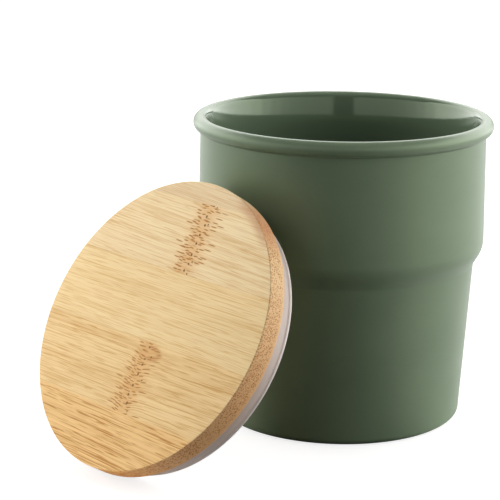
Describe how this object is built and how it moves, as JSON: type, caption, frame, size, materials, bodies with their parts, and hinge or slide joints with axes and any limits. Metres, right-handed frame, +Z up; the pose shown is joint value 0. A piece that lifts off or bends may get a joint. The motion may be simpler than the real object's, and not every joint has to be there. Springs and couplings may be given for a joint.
{
  "type": "storage jar",
  "caption": "Round glazed ceramic jar with a rolled rim and a stepped wall; its bamboo lid with a silicone seal leans against it.",
  "frame": {"origin": "centre of the jar's foot, on the plane that it stands on", "axes": "+Z up along the jar's axis; the lid leans against the jar on its -Y side, and +X is to the right when facing the lid"},
  "size_m": [0.1056, 0.1672, 0.1074],
  "materials": {
    "glaze": "satin sage green glaze",
    "bamboo": "sanded bamboo, oiled, with fine grain and node marks",
    "bamboo_dark": "sanded bamboo, oiled, darker slat",
    "silicone": "translucent matt silicone"
  },
  "bodies": {
    "jar": {"jar_body": "glaze"},
    "lid": {"head_slat_1": "bamboo", "head_slat_2": "bamboo", "head_slat_3": "bamboo", "head_slat_4": "bamboo", "head_slat_5": "bamboo_dark", "plug_slat_1": "bamboo", "plug_slat_2": "bamboo", "plug_slat_3": "bamboo", "plug_slat_4": "bamboo", "seal_ring": "silicone"}
  },
  "joints": [
    {"name": "lid_lift", "type": "slide", "parent": "jar", "child": "lid", "axis": [0, -0.8526, 0.5225], "range_m": [0, 0.12]}
  ]
}
